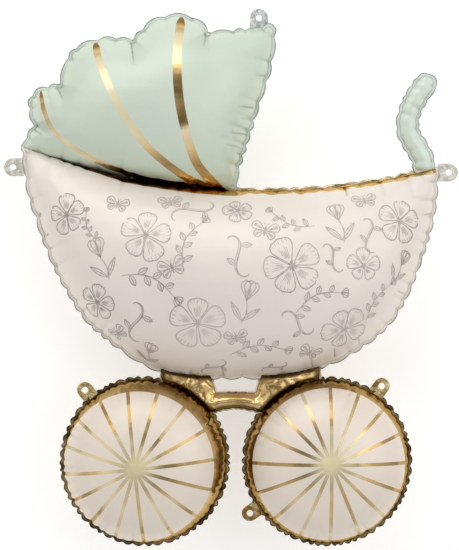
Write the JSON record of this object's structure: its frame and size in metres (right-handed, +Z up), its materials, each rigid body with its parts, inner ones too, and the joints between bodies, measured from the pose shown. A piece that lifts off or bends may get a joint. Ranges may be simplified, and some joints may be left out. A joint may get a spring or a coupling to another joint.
{
  "type": "baby carriage foil balloon",
  "caption": "Blown-up foil balloon in the shape of a baby carriage, with ribbed hood, long bassinet, handle and spoked wheels, one welded envelope lying on its back",
  "frame": {"origin": "Middle of the bounding box in X and Y, at the floor that the balloon lies on", "axes": "+Z is up, out of the front of the carriage; +Y runs from the wheels to the hood; +X runs from the hood's back to the handle"},
  "size_m": [0.6796, 0.8044, 0.2115],
  "materials": {
    "blush_satin_foil": "satin metallised film with a soft grey line print",
    "mint_satin_foil": "satin metallised film",
    "gold_mirror_foil": "mirror-bright metallised film",
    "clear_film": "clear, slightly crinkled film"
  },
  "bodies": {
    "root": {"balloon": "blush_satin_foil"}
  },
  "joints": []
}
